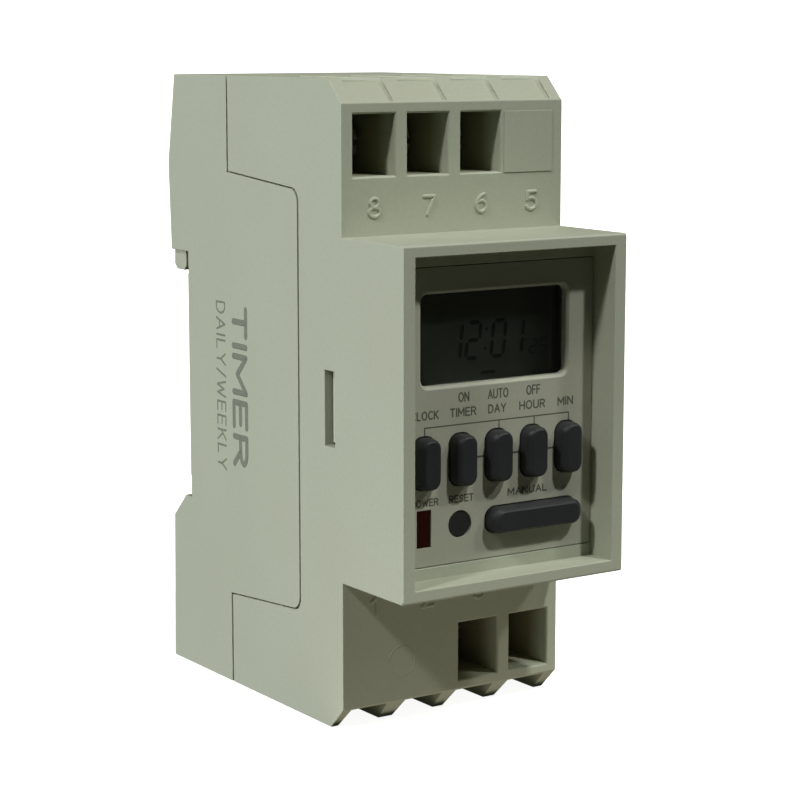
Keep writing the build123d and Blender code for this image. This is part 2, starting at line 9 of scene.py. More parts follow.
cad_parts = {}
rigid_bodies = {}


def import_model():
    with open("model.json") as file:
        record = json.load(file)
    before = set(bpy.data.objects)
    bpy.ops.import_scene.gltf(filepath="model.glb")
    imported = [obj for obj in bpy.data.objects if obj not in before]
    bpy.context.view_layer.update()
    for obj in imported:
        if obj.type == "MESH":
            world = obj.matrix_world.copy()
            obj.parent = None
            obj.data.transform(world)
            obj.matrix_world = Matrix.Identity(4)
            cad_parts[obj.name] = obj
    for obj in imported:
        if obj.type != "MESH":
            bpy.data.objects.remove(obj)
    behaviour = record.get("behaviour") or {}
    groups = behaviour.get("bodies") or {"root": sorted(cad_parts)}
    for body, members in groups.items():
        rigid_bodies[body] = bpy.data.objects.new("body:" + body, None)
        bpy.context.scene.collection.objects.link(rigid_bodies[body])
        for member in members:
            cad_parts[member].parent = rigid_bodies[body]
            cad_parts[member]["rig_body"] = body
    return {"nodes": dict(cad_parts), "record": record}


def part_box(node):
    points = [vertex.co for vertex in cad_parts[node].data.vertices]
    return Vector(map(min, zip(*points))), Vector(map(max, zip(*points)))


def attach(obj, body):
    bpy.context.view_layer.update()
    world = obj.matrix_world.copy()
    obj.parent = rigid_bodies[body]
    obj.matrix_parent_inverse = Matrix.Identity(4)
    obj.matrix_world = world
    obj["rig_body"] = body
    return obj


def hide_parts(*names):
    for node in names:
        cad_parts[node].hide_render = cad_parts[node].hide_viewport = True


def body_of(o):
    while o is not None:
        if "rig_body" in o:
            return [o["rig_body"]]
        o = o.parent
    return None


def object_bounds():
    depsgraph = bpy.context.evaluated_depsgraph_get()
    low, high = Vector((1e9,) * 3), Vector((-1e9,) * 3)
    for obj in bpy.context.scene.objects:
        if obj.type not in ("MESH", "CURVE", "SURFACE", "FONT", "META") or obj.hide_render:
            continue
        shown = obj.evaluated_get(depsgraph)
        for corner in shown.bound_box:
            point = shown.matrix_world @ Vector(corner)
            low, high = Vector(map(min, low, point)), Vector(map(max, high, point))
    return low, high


# Two-module digital time switch for a DIN rail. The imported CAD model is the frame; everything here
# is its finish: materials, rounded edges, raised numerals, printed legends and the display.
# Lengths in the tables are millimetres in the object's frame: X across, front towards -Y, Z up.

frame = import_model()
NODES = frame["nodes"]
CAD_LOW, CAD_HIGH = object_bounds()
MM = 0.001


# ---------------------------------------------------------------- materials
class Look:
    """A procedural material: a Principled shader and the nodes that feed it."""

    def __init__(self, name, **sockets):
        self.material = bpy.data.materials.new(name)
        self.material.use_nodes = True
        self.tree = self.material.node_tree
        self.shader = self.tree.nodes["Principled BSDF"]
        self.place = self.node("ShaderNodeTexCoord").outputs["Object"]
        for key, value in sockets.items():
            self.shader.inputs[key.replace("_", " ")].default_value = value

    def node(self, kind, **settings):
        node = self.tree.nodes.new(kind)
        for key, value in settings.items():
            setattr(node, key, value)
        return node

    def join(self, value, socket):
        if isinstance(value, bpy.types.NodeSocket):
            self.tree.links.new(value, socket)
        else:
            socket.default_value = value

    def stretched(self, scale):
        mapping = self.node("ShaderNodeMapping")
        self.join(self.place, mapping.inputs["Vector"])
        mapping.inputs["Scale"].default_value = scale
        return mapping.outputs["Vector"]

    def noise(self, size, detail=2.0, rough=0.5, vector=None):
        """Noise whose blobs are about size millimetres across."""
        node = self.node("ShaderNodeTexNoise")
        self.join(vector or self.place, node.inputs["Vector"])
        node.inputs["Scale"].default_value = 1.0 / (size * MM)
        node.inputs["Detail"].default_value = detail
        node.inputs["Roughness"].default_value = rough
        return node.outputs["Fac"]

    def cells(self, size, vector=None, feature="F1"):
        node = self.node("ShaderNodeTexVoronoi", feature=feature)
        self.join(vector or self.place, node.inputs["Vector"])
        node.inputs["Scale"].default_value = 1.0 / (size * MM)
        return node.outputs["Distance"]

    def spread(self, value, low, high, start=0.3, end=0.7):
        """Maps start..end of a value onto low..high."""
        node = self.node("ShaderNodeMapRange")
        self.join(value, node.inputs["Value"])
        node.inputs["From Min"].default_value = start
        node.inputs["From Max"].default_value = end
        node.inputs["To Min"].default_value = low
        node.inputs["To Max"].default_value = high
        return node.outputs["Result"]

    def math(self, how, a, b):
        node = self.node("ShaderNodeMath", operation=how)
        self.join(a, node.inputs[0])
        self.join(b, node.inputs[1])
        return node.outputs[0]

    def mix(self, factor, a, b, blend="MIX"):
        node = self.node("ShaderNodeMix", data_type="RGBA", blend_type=blend)
        self.join(factor, node.inputs[0])
        self.join(a, node.inputs[6])
        self.join(b, node.inputs[7])
        return node.outputs[2]

    def bump(self, height, depth, normal=None):
        """Bump of depth millimetres."""
        node = self.node("ShaderNodeBump")
        self.join(height, node.inputs["Height"])
        node.inputs["Strength"].default_value = 1.0
        node.inputs["Distance"].default_value = depth * MM
        if normal is not None:
            self.join(normal, node.inputs["Normal"])
        return node.outputs["Normal"]

    def finish(self, colour=None, rough=None, normal=None):
        if colour is not None:
            self.join(colour, self.shader.inputs["Base Color"])
        if rough is not None:
            self.join(rough, self.shader.inputs["Roughness"])
        if normal is not None:
            self.join(normal, self.shader.inputs["Normal"])
        return self.material


def tint(colour, k):
    return (colour[0] * k, colour[1] * k, colour[2] * k, 1.0)


def entry_shade(look):
    """Painted shade mask: 1 deep inside the screw windows above and below the nose, 0 elsewhere."""
    half_width, z_low, z_high, y_back = 16.9 * MM, 27.5 * MM, 39.2 * MM, -16.0 * MM
    y_unshaded, y_dark = -39.6 * MM, -36.6 * MM
    split = look.node("ShaderNodeSeparateXYZ")
    look.join(look.place, split.inputs["Vector"])
    x, y, z = (split.outputs[axis] for axis in "XYZ")
    z = look.math("ABSOLUTE", z, 0.0)
    inside = look.math("LESS_THAN", look.math("ABSOLUTE", x, 0.0), half_width)
    inside = look.math("MULTIPLY", inside, look.math("GREATER_THAN", z, z_low))
    inside = look.math("MULTIPLY", inside, look.math("LESS_THAN", z, z_high))
    inside = look.math("MULTIPLY", inside, look.math("LESS_THAN", y, y_back))
    return look.math("MULTIPLY", inside, look.spread(y, 0.0, 1.0, y_unshaded, y_dark))


def moulded(name, colour, rough=0.5, grain=0.22, depth=0.006, shift=0.03, shade_mask=None, **sockets):
    """Moulded plastic: slow drift of the tint, fine pigment specks, spark-eroded grain, and painted shade
    where a shade mask is given.
    """
    look = Look(name, **sockets)
    slow = look.noise(14.0, 2.0, 0.55)
    speck = look.noise(0.5, 3.0, 0.6)
    low = (colour[0] * (1 - shift) * 1.02, colour[1] * (1 - shift), colour[2] * (1 - shift) * 0.985, 1.0)
    base = look.mix(look.spread(slow, 0.0, 1.0, 0.35, 0.65), low, tint(colour, 1 + shift))
    base = look.mix(look.spread(speck, 0.0, 1.0, 0.3, 0.75), base, tint(colour, 0.93), "MIX")
    # painted shade: darker, warmer plastic where the mask marks the inside of the screw windows
    if shade_mask is not None:
        base = look.mix(shade_mask(look), base, (colour[0] * 0.64, colour[1] * 0.57, colour[2] * 0.46, 1.0))
    wipe = look.noise(5.0, 4.0, 0.6, look.stretched((1.0, 1.0, 0.35)))
    gloss = look.spread(wipe, rough - 0.05, rough + 0.06)
    pits = look.math("MULTIPLY", look.cells(grain * 1.6), 0.5)
    skin = look.math("ADD", look.noise(grain, 2.0, 0.6), pits)
    sink = look.noise(9.0, 1.0, 0.4)
    normal = look.bump(sink, depth * 1.5)
    normal = look.bump(skin, depth, normal)
    return look.finish(base, gloss, normal)


def metal(name, colour, rough=0.3, brushed=(1.0, 1.0, 12.0), spots=0.25):
    """Plated sheet: drawn or rolled lines, faint stains."""
    look = Look(name, Metallic=1.0)
    lines = look.noise(0.6, 4.0, 0.65, look.stretched(brushed))
    stain = look.noise(1.6, 3.0, 0.6)
    base = look.mix(look.spread(stain, 0.0, 1.0, 0.45, 0.75), tint(colour, 1.0), tint(colour, 1.0 - spots))
    gloss = look.spread(lines, rough - 0.08, rough + 0.14)
    return look.finish(base, gloss, look.bump(lines, 0.004))


def laminate(name, colour):
    """Solder-masked board: glass weave under the mask, darker copper areas."""
    look = Look(name, Roughness=0.3)
    weave = look.node("ShaderNodeTexChecker")
    look.join(look.place, weave.inputs["Vector"])
    weave.inputs["Scale"].default_value = 1.0 / (0.5 * MM)
    copper = look.spread(look.cells(3.2, feature="DISTANCE_TO_EDGE"), 1.0, 0.0, 0.08, 0.1)
    base = look.mix(copper, tint(colour, 0.75), tint(colour, 1.25))
    gloss = look.spread(look.noise(1.2, 3.0), 0.24, 0.4)
    return look.finish(base, gloss, look.bump(look.math("MULTIPLY", weave.outputs["Fac"], 0.4), 0.006))


def clear_lens():
    look = Look("lens_acrylic", Transmission_Weight=1.0, IOR=1.49)
    look.shader.inputs["Base Color"].default_value = (0.93, 0.95, 0.92, 1.0)
    haze = look.noise(2.5, 4.0, 0.6)
    return look.finish(None, look.spread(haze, 0.02, 0.06), look.bump(look.noise(6.0, 1.0), 0.002))


def display_glass():
    """Front polariser of the display: faint mottling on an olive base kept darker than the polariser itself
    as painted shade, and more painted shade towards its right edge.
    """
    look = Look("lcd_glass", IOR=1.5)
    cloud = look.noise(7.0, 3.0, 0.55)
    grain = look.noise(0.35, 2.0, 0.5)
    # painted shade: the olive base is darker than the polariser's own colour
    base = look.mix(look.spread(cloud, 0.0, 1.0), (0.050, 0.062, 0.045, 1), (0.062, 0.075, 0.058, 1))
    base = look.mix(look.spread(grain, 0.0, 0.25), base, (0.03, 0.04, 0.03, 1))
    # painted shade: the polariser darkens towards its right edge
    split = look.node("ShaderNodeSeparateXYZ")
    look.join(look.place, split.inputs["Vector"])
    edge = look.spread(split.outputs["X"], 0.0, 0.75, 4.6 * MM, 8.2 * MM)
    base = look.mix(edge, base, (0.012, 0.014, 0.010, 1))
    return look.finish(base, look.spread(cloud, 0.28, 0.36), look.bump(grain, 0.002))


def ink(name, colour, rough=0.55, wear=0.35):
    """Pad-printed ink, a little uneven, with the plastic showing through at fine pinholes."""
    look = Look(name)
    patchy = look.noise(0.45, 4.0, 0.65)
    holes = look.noise(0.16, 2.0, 0.5)
    base = look.mix(look.spread(patchy, 0.0, wear, 0.35, 0.75), tint(colour, 0.9), tint(colour, 1.6))
    base = look.mix(look.spread(holes, 0.0, 0.3, 0.62, 0.72), base, tint(colour, 2.2))
    return look.finish(base, look.spread(patchy, rough - 0.08, rough + 0.08), look.bump(patchy, 0.003))


HOUSING = (0.468, 0.512, 0.402)
PANEL = (0.440, 0.462, 0.372)
KEY = (0.0235, 0.0265, 0.0290)
RESET = (0.0220, 0.0230, 0.0230)
KEY_SHEEN = 0.35
MATERIALS = {
    # housing: painted shade deep inside the screw windows
    "housing": moulded("housing_plastic", HOUSING, 0.52, 0.24, 0.006, 0.012, entry_shade),
    "panel": moulded("panel_plastic", PANEL, 0.48, 0.20, 0.004, 0.012),
    "key": moulded("key_plastic", KEY, 0.50, 0.18, 0.005, 0.08, Specular_IOR_Level=KEY_SHEEN),
    "reset": moulded("reset_plastic", RESET, 0.50, 0.18, 0.005, 0.08, Specular_IOR_Level=KEY_SHEEN),
    "lens": clear_lens(),
    "lcd": display_glass(),
    "elastomer": moulded("elastomer_rubber", (0.22, 0.22, 0.22), 0.7, 0.3, 0.006, 0.06),
    "led": moulded("led_epoxy", (0.026, 0.0028, 0.0008), 0.34, 0.4, 0.002, 0.15, Specular_IOR_Level=0.3),
    "board": laminate("board_laminate", (0.030, 0.16, 0.075)),
    "switch": moulded("switch_plastic", (0.045, 0.045, 0.048), 0.5, 0.2, 0.005, 0.06),
    "screw_small": metal("small_screw_zinc", (0.66, 0.67, 0.66), 0.32),
    "chip": moulded("chip_epoxy", (0.028, 0.028, 0.030), 0.55, 0.12, 0.006, 0.08),
    "can": metal("can_nickel", (0.72, 0.72, 0.70), 0.24, (1.0, 1.0, 8.0)),
    "cell": metal("cell_nickel", (0.74, 0.74, 0.73), 0.22, (6.0, 1.0, 1.0)),
    "tab": metal("tab_nickel", (0.68, 0.67, 0.64), 0.3),
    "header": metal("header_gilt", (0.80, 0.60, 0.26), 0.24),
    "relay": moulded("relay_case", (0.030, 0.050, 0.28), 0.34, 0.3, 0.003, 0.06),
    "film": moulded("film_case", (0.62, 0.44, 0.06), 0.3, 0.4, 0.003, 0.05),
    "electrolytic": moulded("electrolytic_sleeve", (0.020, 0.026, 0.060), 0.24, 0.5, 0.002, 0.08),
    "disc": moulded("varistor_lacquer", (0.035, 0.11, 0.42), 0.22, 0.9, 0.012, 0.08),
    "diode": moulded("diode_epoxy", (0.030, 0.030, 0.032), 0.42, 0.2, 0.005, 0.08),
    "resistor": moulded("resistor_lacquer", (0.20, 0.34, 0.40), 0.4, 0.3, 0.006, 0.08),
    "brass": metal("busbar_brass", (0.76, 0.60, 0.33), 0.3, (1.0, 1.0, 6.0), 0.35),
    "screw": metal("terminal_screw_zinc", (0.62, 0.61, 0.56), 0.34, (1.0, 6.0, 1.0), 0.35),
    "cage": metal("cage_zinc", (0.60, 0.60, 0.57), 0.36, (1.0, 6.0, 1.0), 0.3),
    "clip": moulded("clip_plastic", (0.050, 0.053, 0.053), 0.48, 0.25, 0.006, 0.06),
    "spring": metal("spring_steel", (0.50, 0.49, 0.47), 0.3, (1.0, 1.0, 1.0), 0.2),
}
LEGEND_INK = ink("legend_ink", (0.105, 0.112, 0.082))
SIDE_INK = ink("side_ink", (0.205, 0.232, 0.180))
SEGMENT_INK = ink("segment_ink", (0.004, 0.005, 0.004), 0.4, 0.1)

SUBPARTS = {part["node"]: part for part in frame["record"]["subparts"]}
for part in SUBPARTS.values():
    mesh = NODES[part["node"]].data
    mesh.materials.clear()
    mesh.materials.append(MATERIALS[part["material_slot"]])


# ---------------------------------------------------------------- rounded edges of the moulded parts
SAME_FACE = 0.012 * MM    # how near a point has to be to count as on a face
LEAST_ROUNDING = 0.02 * MM
WELD = 0.001 * MM
BAKED_WELD = 0.004 * MM
BAKED_SLIVER = 0.002 * MM
FLAT = math.radians(0.3)


def room_beside(edge, tree, width):
    """Largest rounding, up to width, that fits on the two faces beside an edge."""
    a, b = edge.verts[0].co, edge.verts[1].co
    inset = min(1.2 * width / max(edge.calc_length(), 1e-9), 0.45)
    best = width
    for loop in edge.link_loops:
        face = loop.face
        inward = face.normal.cross(loop.link_loop_next.vert.co - loop.vert.co).normalized()
        for t in (inset, 0.5, 1.0 - inset):
            fits = 0.0
            for share in (2.3, 1.7, 1.2, 0.8, 0.5, 0.3):
                spot = a.lerp(b, t) + inward * width * share
                hit, normal, _, _ = tree.find_nearest(spot, SAME_FACE)
                if hit is not None and normal.dot(face.normal) > 0.96:
                    fits = share * width * 0.45
                    break
            best = min(best, fits)
    return best


def edge_runs(bm, corners):
    """Joins corner edges that carry on in a line, so that one run gets one rounding."""
    chain = {e: e for e in corners}

    def root(e):
        while chain[e] is not e:
            e = chain[e]
        return e

    for vert in bm.verts:
        ends = [e for e in vert.link_edges if e in chain]
        if len(ends) == 2 and ends[0].is_convex == ends[1].is_convex:
            d = [(e.other_vert(vert).co - vert.co).normalized() for e in ends]
            if d[0].dot(d[1]) < -0.75:
                chain[root(ends[0])] = root(ends[1])
    return {e: root(e) for e in corners}


def corner_normals(mesh, turn=38.0):
    """Normals that keep flat faces flat and turn smoothly over the rounded edges."""
    bm = bmesh.new()
    bm.from_mesh(mesh)
    limit = math.cos(math.radians(turn))
    area = [face.calc_area() for face in bm.faces]
    normals = []
    for face in bm.faces:
        for vert in face.verts:
            total = face.normal * 1e-12
            for other in vert.link_faces:
                if face.normal.dot(other.normal) > limit:
                    total += other.normal * area[other.index]
            normals.append(total.normalized())
    bm.free()
    mesh.normals_split_custom_set(normals)


def bake(mesh, kind, **settings):
    """The mesh after one modifier; the mesh itself is used up."""
    draft = bpy.data.objects.new("draft", mesh)
    bpy.context.scene.collection.objects.link(draft)
    modifier = draft.modifiers.new("draft", kind)
    for key, value in settings.items():
        setattr(modifier, key, value)
    baked = bpy.data.meshes.new_from_object(draft.evaluated_get(bpy.context.evaluated_depsgraph_get()))
    bpy.data.objects.remove(draft)
    bpy.data.meshes.remove(mesh)
    return baked


def soften(name, width, segments=2, limit=28.0):
    """A part with its outer edges rounded by as much as their faces have room for."""
    part = NODES[name]
    width = width * MM
    bm = bmesh.new()
    bm.from_mesh(part.data)
    weight = bm.edges.layers.float.new("bevel_weight_edge")
    bmesh.ops.remove_doubles(bm, verts=bm.verts, dist=WELD)
    bmesh.ops.dissolve_limit(bm, angle_limit=FLAT, verts=bm.verts, edges=bm.edges)
    bm.normal_update()
    tree = BVHTree.FromBMesh(bm)
    bent = math.radians(limit)
    corners = [e for e in bm.edges if len(e.link_faces) == 2 and e.calc_face_angle(0.0) > bent]
    runs = edge_runs(bm, corners)
    room, length = {}, {}
    for e in corners:
        run = runs[e]
        fits = room_beside(e, tree, width) if e.is_convex else 0.0
        room[run] = min(room.get(run, width), fits)
        length[run] = length.get(run, 0.0) + e.calc_length()
    for e in corners:
        fits = min(room[runs[e]], 0.4 * length[runs[e]])
        e[weight] = 0.0 if fits < LEAST_ROUNDING else fits / width
    sharp = bpy.data.meshes.new(name + "_sharp")
    bm.to_mesh(sharp)
    bm.free()
    rounding = {"width": width, "segments": segments, "limit_method": "WEIGHT", "use_clamp_overlap": False}
    mesh = bake(sharp, "BEVEL", **rounding)
    mesh.name = name + "_rounded"
    for axis in range(3):
        low = min(v.co[axis] for v in part.data.vertices)
        high = max(v.co[axis] for v in part.data.vertices)
        for v in mesh.vertices:
            v.co[axis] = min(max(v.co[axis], low), high)
    bm = bmesh.new()
    bm.from_mesh(mesh)
    bmesh.ops.remove_doubles(bm, verts=bm.verts, dist=BAKED_WELD)
    bmesh.ops.dissolve_degenerate(bm, edges=bm.edges, dist=BAKED_SLIVER)
    bm.to_mesh(mesh)
    bm.free()
    if "bevel_weight_edge" in mesh.attributes:
        mesh.attributes.remove(mesh.attributes["bevel_weight_edge"])
    mesh.polygons.foreach_set("use_smooth", [True] * len(mesh.polygons))
    corner_normals(mesh)
    slot = SUBPARTS[name]["material_slot"]
    mesh.materials.clear()
    mesh.materials.append(MATERIALS[slot])
    made = bpy.data.objects.new(mesh.name, mesh)
    bpy.context.scene.collection.objects.link(made)
    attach(made, body_of(part)[0])
    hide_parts(name)


soften("front_cover", 0.16, limit=35.0)
for name, width in {
    "rear_base": 0.14,
    "control_panel": 0.10,
    "rail_clip": 0.2,
    "key_reset": 0.14,
    "relay": 0.25,
    "dropper_capacitor": 0.25,
    "lcd_window": 0.08,
    "power_led": 0.08,
}.items():
    soften(name, width)
for name in ("clock", "timer", "day", "hour", "min", "manual"):
    soften("key_" + name, 0.18, 3, 18.0)


# ---------------------------------------------------------------- strokes: raised numerals and prints
def arc(cx, cy, rx, ry, a0, a1, steps=16):
    angles = [math.radians(a0 + (a1 - a0) * i / steps) for i in range(steps + 1)]
    return [(cx + rx * math.cos(a), cy + ry * math.sin(a)) for a in angles]


# Width and strokes of each character for a cap height of 1.
GLYPHS = {
    "A": (0.64, [[(0, 0), (0.32, 1), (0.64, 0)], [(0.12, 0.34), (0.52, 0.34)]]),
    "C": (0.60, [arc(0.35, 0.5, 0.34, 0.5, 52, 308, 20)]),
    "D": (0.60, [[(0, 0), (0, 1), (0.22, 1)] + arc(0.24, 0.5, 0.36, 0.5, 88, -88) + [(0.2, 0), (0, 0)]]),
    "E": (0.50, [[(0.5, 1), (0, 1), (0, 0), (0.5, 0)], [(0, 0.52), (0.44, 0.52)]]),
    "F": (0.48, [[(0.48, 1), (0, 1), (0, 0)], [(0, 0.52), (0.42, 0.52)]]),
    "H": (0.60, [[(0, 0), (0, 1)], [(0.6, 0), (0.6, 1)], [(0, 0.5), (0.6, 0.5)]]),
    "I": (0.0, [[(0, 0), (0, 1)]]),
    "K": (0.56, [[(0, 0), (0, 1)], [(0.54, 1), (0, 0.4)], [(0.18, 0.6), (0.56, 0)]]),
    "L": (0.46, [[(0, 1), (0, 0), (0.46, 0)]]),
    "M": (0.74, [[(0, 0), (0, 1), (0.37, 0.3), (0.74, 1), (0.74, 0)]]),
    "N": (0.60, [[(0, 0), (0, 1), (0.6, 0), (0.6, 1)]]),
    "O": (0.70, [arc(0.35, 0.5, 0.35, 0.5, 90, 450, 30)]),
    "P": (0.56, [[(0, 0), (0, 1), (0.28, 1)] + arc(0.29, 0.74, 0.27, 0.26, 88, -88) + [(0, 0.48)]]),
    "R": (0.58, [[(0, 0), (0, 1), (0.28, 1)] + arc(0.29, 0.75, 0.26, 0.25, 88, -88) + [(0, 0.5)],
                 [(0.3, 0.5), (0.58, 0)]]),
    "S": (0.54, [arc(0.27, 0.75, 0.25, 0.25, 35, 268) + arc(0.27, 0.25, 0.26, 0.25, 88, -145)]),
    "T": (0.56, [[(0, 1), (0.56, 1)], [(0.28, 1), (0.28, 0)]]),
    "U": (0.60, [[(0, 1), (0, 0.3)] + arc(0.3, 0.3, 0.3, 0.3, 182, 358) + [(0.6, 0.3), (0.6, 1)]]),
    "W": (0.86, [[(0, 1), (0.2, 0), (0.43, 0.8), (0.66, 0), (0.86, 1)]]),
    "Y": (0.60, [[(0, 1), (0.3, 0.46), (0.6, 1)], [(0.3, 0.46), (0.3, 0)]]),
    "/": (0.36, [[(0, -0.05), (0.36, 1.05)]]),
    " ": (0.34, []),
    "1": (0.30, [[(0, 0.76), (0.28, 1), (0.28, 0)]]),
    "2": (0.60, [arc(0.3, 0.7, 0.28, 0.3, 165, -28) + [(0.02, 0), (0.6, 0)]]),
    "3": (0.58, [arc(0.28, 0.75, 0.25, 0.25, 150, -80), arc(0.28, 0.25, 0.29, 0.25, 85, -150)]),
    "4": (0.64, [[(0.46, 0), (0.46, 1), (0, 0.3), (0.64, 0.3)]]),
    "5": (0.58, [[(0.54, 1), (0.1, 1), (0.06, 0.56)] + arc(0.27, 0.32, 0.3, 0.32, 120, -150, 20)]),
    "6": (0.58, [arc(0.6, 0.33, 0.58, 0.67, 180, 104), arc(0.3, 0.31, 0.28, 0.31, 0, 360, 28)]),
    "7": (0.58, [[(0, 1), (0.58, 1), (0.2, 0)]]),
    "8": (0.58, [arc(0.29, 0.755, 0.23, 0.245, 0, 360, 26), arc(0.29, 0.26, 0.28, 0.26, 0, 360, 28)]),
}


def split_at_corners(path, angle=35.0):
    """Cuts a path into smooth runs, so that each run keeps its full width round a corner."""
    runs, run = [], [Vector(path[0])]
    for i in range(1, len(path)):
        here = Vector(path[i])
        if (here - run[-1]).length < 1e-6:
            continue
        run.append(here)
        if i + 1 < len(path):
            ahead = Vector(path[i + 1]) - here
            if ahead.length > 1e-6 and (here - run[-2]).angle(ahead) > math.radians(angle):
                runs.append(run)
                run = [here]
    runs.append(run)
    return [r for r in runs if len(r) > 1]


def ridge(bm, run, radius, rise, place, around=10, cap=4):
    """A closed ridge with round ends along a flat run of points; place() puts (u, v, w) in space."""
    tangents = []
    for i in range(len(run)):
        a, b = run[max(i - 1, 0)], run[min(i + 1, len(run) - 1)]
        tangents.append((b - a).normalized())
    sections = []
    for k in range(cap - 1, 0, -1):
        phi = math.pi / 2 * k / cap
        sections.append((run[0] - tangents[0] * radius * math.sin(phi), tangents[0], math.cos(phi)))
    sections += [(p, t, 1.0) for p, t in zip(run, tangents)]
    for k in range(1, cap):
        phi = math.pi / 2 * k / cap
        sections.append((run[-1] + tangents[-1] * radius * math.sin(phi), tangents[-1], math.cos(phi)))
    first = bm.verts.new(place(*(run[0] - tangents[0] * radius), 0.0))
    last = bm.verts.new(place(*(run[-1] + tangents[-1] * radius), 0.0))
    rings = []
    for centre, t, scale in sections:
        side = Vector((-t.y, t.x))
        ring = []
        for j in range(around):
            a = 2 * math.pi * j / around
            p = centre + side * radius * scale * math.cos(a)
            ring.append(bm.verts.new(place(p.x, p.y, rise * scale * math.sin(a))))
        rings.append(ring)
    for a, b in zip(rings, rings[1:]):
        for j in range(around):
            bm.faces.new((a[j], a[(j + 1) % around], b[(j + 1) % around], b[j]))
    for j in range(around):
        bm.faces.new((first, rings[0][(j + 1) % around], rings[0][j]))
        bm.faces.new((last, rings[-1][j], rings[-1][(j + 1) % around]))


def put_stroke(bm, path, radius, rise, place):
    for run in split_at_corners(path):
        ridge(bm, run, radius, rise, place)


def put_text(bm, text, centre, cap, radius, rise, place, width=None, gap=0.26):
    """Text centred on a point; width stretches its letters and gaps to that length."""
    advance = [GLYPHS[c][0] for c in text]
    total = sum(advance) + gap * (len(text) - 1)
    across = cap if width is None else (width - 2 * radius) / total
    tall = cap - 2 * radius
    u = -total / 2
    for c, w in zip(text, advance):
        for path in GLYPHS[c][1]:
            moved = [(centre[0] + (u + x) * across, centre[1] + (y - 0.5) * tall) for x, y in path]
            put_stroke(bm, moved, radius, rise, place)
        u += w + gap


def piece(name, bm, material, body="case", smooth=True, fused=None):
    """Turns a bmesh into a piece that rides on a body; fused melts its strokes together at that grain."""
    bmesh.ops.recalc_face_normals(bm, faces=bm.faces)
    mesh = bpy.data.meshes.new(name)
    bm.to_mesh(mesh)
    bm.free()
    if fused:
        mesh = bake(mesh, "REMESH", mode="VOXEL", voxel_size=fused * MM)
        mesh = bake(mesh, "SMOOTH", factor=0.5, iterations=4)
        mesh.name = name
    mesh.polygons.foreach_set("use_smooth", [smooth] * len(mesh.polygons))
    mesh.materials.append(material)
    made = bpy.data.objects.new(name, mesh)
    bpy.context.scene.collection.objects.link(made)
    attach(made, body)


def facing_front(y):
    """Places (u, v, w) on a plane that faces the front: u along X, v up, w towards the viewer."""
    return lambda u, v, w: Vector((u, y - w, v)) * MM


def facing_left(x, y, z):
    """Places text on the left side so that it reads downwards with its top towards the front."""
    return lambda u, v, w: Vector((x - w, y - v, z - u)) * MM


def y_front(node):
    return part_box(node)[0].y / MM


NOSE_REACH = 14.1     # how far the nose stands in front of the terminal faces
TERMINAL_FACE = y_front("front_cover") + NOSE_REACH
PANEL_FACE = y_front("control_panel")
CELL_FACE = y_front("lcd_cell")
LEFT_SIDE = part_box("rear_base")[0].x / MM
NUMBER_CAP, NUMBER_STROKE, NUMBER_RISE, NUMBER_SINK = 2.9, 0.28, 0.24, 0.02
LEGEND_STROKE, LEGEND_LINE, LEGEND_LINK = 0.105, 0.09, 0.14
LEGEND_RISE = 0.012
SIDE_RISE = 0.004
SEGMENT_RISE = 0.03

# raised terminal numbers
bm = bmesh.new()
on_terminals = facing_front(TERMINAL_FACE + NUMBER_SINK)
for text, x, z in (("8", -12.5, 26.1), ("7", -4.05, 26.1), ("6", 4.24, 26.1), ("5", 12.5, 26.1),
                   ("1", -12.6, -26.1), ("2", -4.2, -26.1), ("3", 4.3, -26.1), ("4", 12.65, -26.1)):
    put_text(bm, text, (x, z), NUMBER_CAP, NUMBER_STROKE, NUMBER_RISE, on_terminals)
piece("terminal_numbers", bm, MATERIALS["housing"], fused=0.045)

# faint ring left by an ejector pin below the nose
bm = bmesh.new()
put_stroke(bm, arc(-8.3, -34.2, 2.1, 2.1, 0, 360, 48), 0.06, 0.03, facing_front(TERMINAL_FACE))
piece("ejector_ring", bm, MATERIALS["housing"])

# printed legends: functions of the keys and of the display marks
bm = bmesh.new()
on_panel = facing_front(PANEL_FACE)
for text, x, z, cap, width in (
    ("ON", -5.27, 2.35, 1.3, 1.75), ("AUTO", 0.14, 2.35, 1.3, 3.3), ("OFF", 5.8, 2.35, 1.3, 2.3),
    ("CLOCK", -11.3, 0.42, 1.2, 4.3), ("TIMER", -5.37, 0.42, 1.2, 4.16), ("DAY", 0.0, 0.42, 1.2, 2.9),
    ("HOUR", 5.65, 0.42, 1.2, 4.24), ("MIN", 11.08, 0.42, 1.2, 2.6),
    ("POWER", -11.3, -10.8, 1.05, 4.3), ("RESET", -5.6, -10.8, 1.05, 3.9),
    ("MANUAL", 4.97, -10.8, 1.05, 6.44),
):
    put_text(bm, text, (x, z), cap, LEGEND_STROKE, LEGEND_RISE, on_panel, width)
for path in (
    [(-11.32, -2.1), (-11.32, -1.15), (11.64, -1.15), (11.64, -2.1)],
    [(0.31, -1.15), (0.31, -2.1)], [(5.98, -1.15), (5.98, -2.1)],
):
    put_stroke(bm, path, LEGEND_LINE, LEGEND_RISE, on_panel)
for path in ([(-3.9, -5.65), (-2.0, -5.65)], [(1.75, -5.65), (3.7, -5.65)], [(7.4, -5.65), (9.35, -5.65)]):
    put_stroke(bm, path, LEGEND_LINK, LEGEND_RISE, on_panel)
piece("key_legends", bm, LEGEND_INK)

# generic print on the left side
bm = bmesh.new()
put_text(bm, "TIMER", (0.0, 0.0), 4.3, 0.42, SIDE_RISE, facing_left(LEFT_SIDE, -14.6, 0.0), 22.6, 0.22)
put_text(bm, "DAILY/WEEKLY", (0.0, 0.0), 2.6, 0.15, SIDE_RISE, facing_left(LEFT_SIDE, -9.4, -0.4), 23.8, 0.3)
piece("side_print", bm, SIDE_INK)


